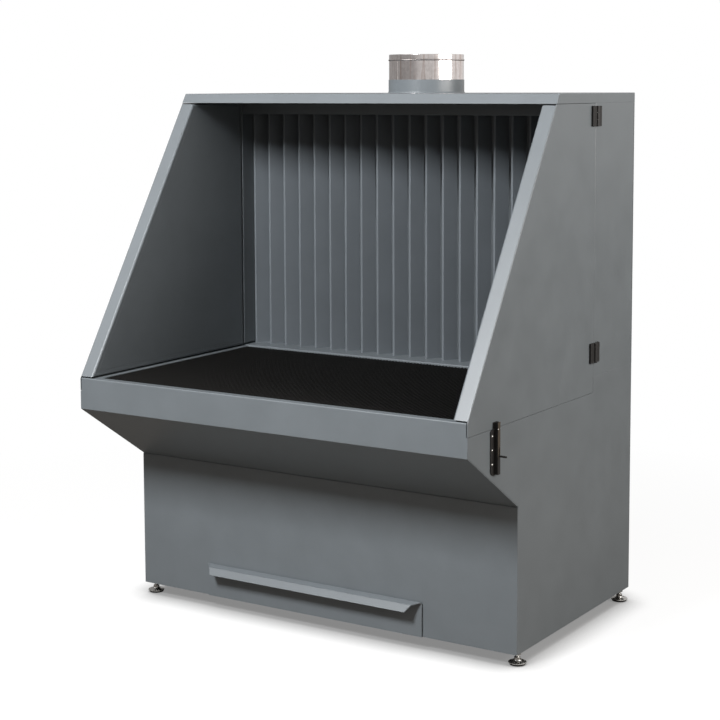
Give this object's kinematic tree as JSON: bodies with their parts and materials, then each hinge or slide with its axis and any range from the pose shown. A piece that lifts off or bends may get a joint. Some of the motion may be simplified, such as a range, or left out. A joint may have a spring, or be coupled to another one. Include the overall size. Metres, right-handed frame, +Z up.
{
  "type": "downdraft work table",
  "caption": "Free-standing downdraft work table with an extraction hood, swing-out sides, a slatted suction wall, lift-out gratings and a dust drawer.",
  "frame": {"origin": "on the floor, under the middle of the table's width and depth", "axes": "+X to the right of a person at the open front, +Y to the back, +Z up"},
  "size_m": [1.3624, 1.015, 1.656],
  "materials": {
    "powder_coat": "blue-grey fine-texture powder coat",
    "lamella_paint": "blue-grey powder coat",
    "grating_steel": "dark oxidised steel",
    "galvanised_sleeve": "bright galvanised sheet",
    "black_fitting": "black satin coating",
    "zinc_plated": "bright zinc plating",
    "seal_rubber": "matt black",
    "foot_rubber": "matt black"
  },
  "bodies": {
    "cabinet": {"apron": "powder_coat", "bolt_plate_left": "black_fitting", "bolt_plate_right": "black_fitting", "bolt_screws": "zinc_plated", "cabinet_back": "powder_coat", "cabinet_side_left": "powder_coat", "cabinet_side_right": "powder_coat", "centre_bearer": "powder_coat", "corner_plates": "powder_coat", "duct_collar": "powder_coat", "duct_sleeve": "galvanised_sleeve", "dust_chute_left": "powder_coat", "dust_chute_right": "powder_coat", "floor_pan": "powder_coat", "front_panel": "powder_coat", "grating_rail_left": "powder_coat", "grating_rail_right": "powder_coat", "header": "powder_coat", "hinge_leaf_fixed_left": "black_fitting", "hinge_leaf_fixed_right": "black_fitting", "hinge_pins": "zinc_plated", "housing_back": "powder_coat", "housing_side_left": "powder_coat", "housing_side_right": "powder_coat", "lamellae": "lamella_paint", "lock_nuts": "zinc_plated", "rear_baffle": "powder_coat", "roof": "powder_coat", "sill": "powder_coat"},
    "side_left": {"panel_shell_left": "powder_coat", "panel_liner_left": "powder_coat", "panel_seal_left": "seal_rubber", "hinge_leaf_swing_left": "black_fitting", "bolt_keeper_left": "black_fitting"},
    "side_right": {"panel_shell_right": "powder_coat", "panel_liner_right": "powder_coat", "panel_seal_right": "seal_rubber", "hinge_leaf_swing_right": "black_fitting", "bolt_keeper_right": "black_fitting"},
    "drawer": {"drawer_front": "powder_coat", "drawer_tray": "powder_coat"},
    "bolt_left": {"bolt_rod_left": "zinc_plated", "bolt_handle_left": "black_fitting"},
    "bolt_right": {"bolt_rod_right": "zinc_plated", "bolt_handle_right": "black_fitting"},
    "grating_panel_left": {"grating_left": "grating_steel"},
    "grating_panel_right": {"grating_right": "grating_steel"},
    "leveller_front_left": {"foot_front_left": "zinc_plated", "foot_pad_front_left": "foot_rubber"},
    "leveller_front_right": {"foot_front_right": "zinc_plated", "foot_pad_front_right": "foot_rubber"},
    "leveller_back_left": {"foot_back_left": "zinc_plated", "foot_pad_back_left": "foot_rubber"},
    "leveller_back_right": {"foot_back_right": "zinc_plated", "foot_pad_back_right": "foot_rubber"}
  },
  "joints": [
    {"name": "side_left_swing", "type": "hinge", "parent": "cabinet", "child": "side_left", "pos_m": [-0.651, 0.235, 1.1], "axis": [0, 0, -1], "range_deg": [0, 160]},
    {"name": "side_right_swing", "type": "hinge", "parent": "cabinet", "child": "side_right", "pos_m": [0.651, 0.235, 1.1], "axis": [0, 0, 1], "range_deg": [0, 160]},
    {"name": "drawer_slide", "type": "slide", "parent": "cabinet", "child": "drawer", "axis": [0, -1, 0], "range_m": [0, 0.45]},
    {"name": "bolt_left_slide", "type": "slide", "parent": "cabinet", "child": "bolt_left", "axis": [0, 0, 1], "range_m": [0, 0.02]},
    {"name": "bolt_right_slide", "type": "slide", "parent": "cabinet", "child": "bolt_right", "axis": [0, 0, 1], "range_m": [0, 0.02]},
    {"name": "grating_left_lift", "type": "slide", "parent": "cabinet", "child": "grating_panel_left", "axis": [0, 0, 1], "range_m": [0, 0.2]},
    {"name": "grating_right_lift", "type": "slide", "parent": "cabinet", "child": "grating_panel_right", "axis": [0, 0, 1], "range_m": [0, 0.2]},
    {"name": "foot_front_left_turn", "type": "hinge", "parent": "cabinet", "child": "leveller_front_left", "pos_m": [-0.629, -0.1975, 0.03], "axis": [0, 0, 1], "continuous": true},
    {"name": "foot_front_right_turn", "type": "hinge", "parent": "cabinet", "child": "leveller_front_right", "pos_m": [0.629, -0.1975, 0.03], "axis": [0, 0, 1], "continuous": true},
    {"name": "foot_back_left_turn", "type": "hinge", "parent": "cabinet", "child": "leveller_back_left", "pos_m": [-0.629, 0.4735, 0.03], "axis": [0, 0, 1], "continuous": true},
    {"name": "foot_back_right_turn", "type": "hinge", "parent": "cabinet", "child": "leveller_back_right", "pos_m": [0.629, 0.4735, 0.03], "axis": [0, 0, 1], "continuous": true}
  ]
}
